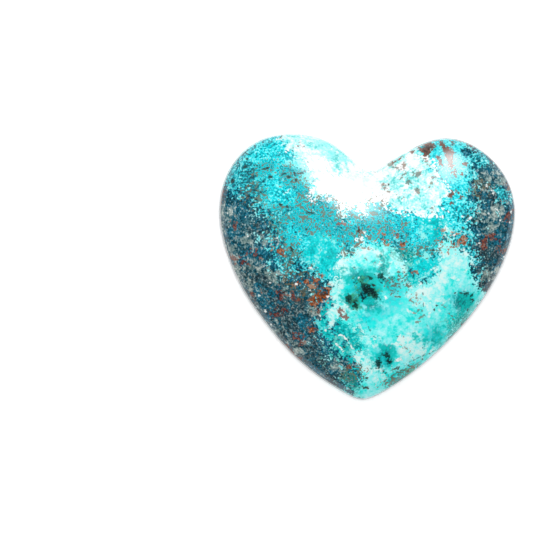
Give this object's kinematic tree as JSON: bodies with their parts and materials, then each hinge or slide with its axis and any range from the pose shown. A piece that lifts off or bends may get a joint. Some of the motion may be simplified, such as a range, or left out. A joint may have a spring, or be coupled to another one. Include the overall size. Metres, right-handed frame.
{
  "type": "shattuckite heart cabochon",
  "caption": "Polished heart-shaped cabochon of shattuckite, with a domed face, a thin girdle and a flat back that it rests on.",
  "frame": {"origin": "middle of the stone's width and length, on its flat back", "axes": "+Z out of the domed face, +X across the two lobes, +Y from the point towards the notch"},
  "size_m": [0.0284, 0.0254, 0.0054],
  "materials": {
    "polished_stone": "high polish, mottled turquoise, deep blue and mint green with rust-brown specks"
  },
  "bodies": {
    "root": {"heart_stone": "polished_stone"}
  },
  "joints": []
}
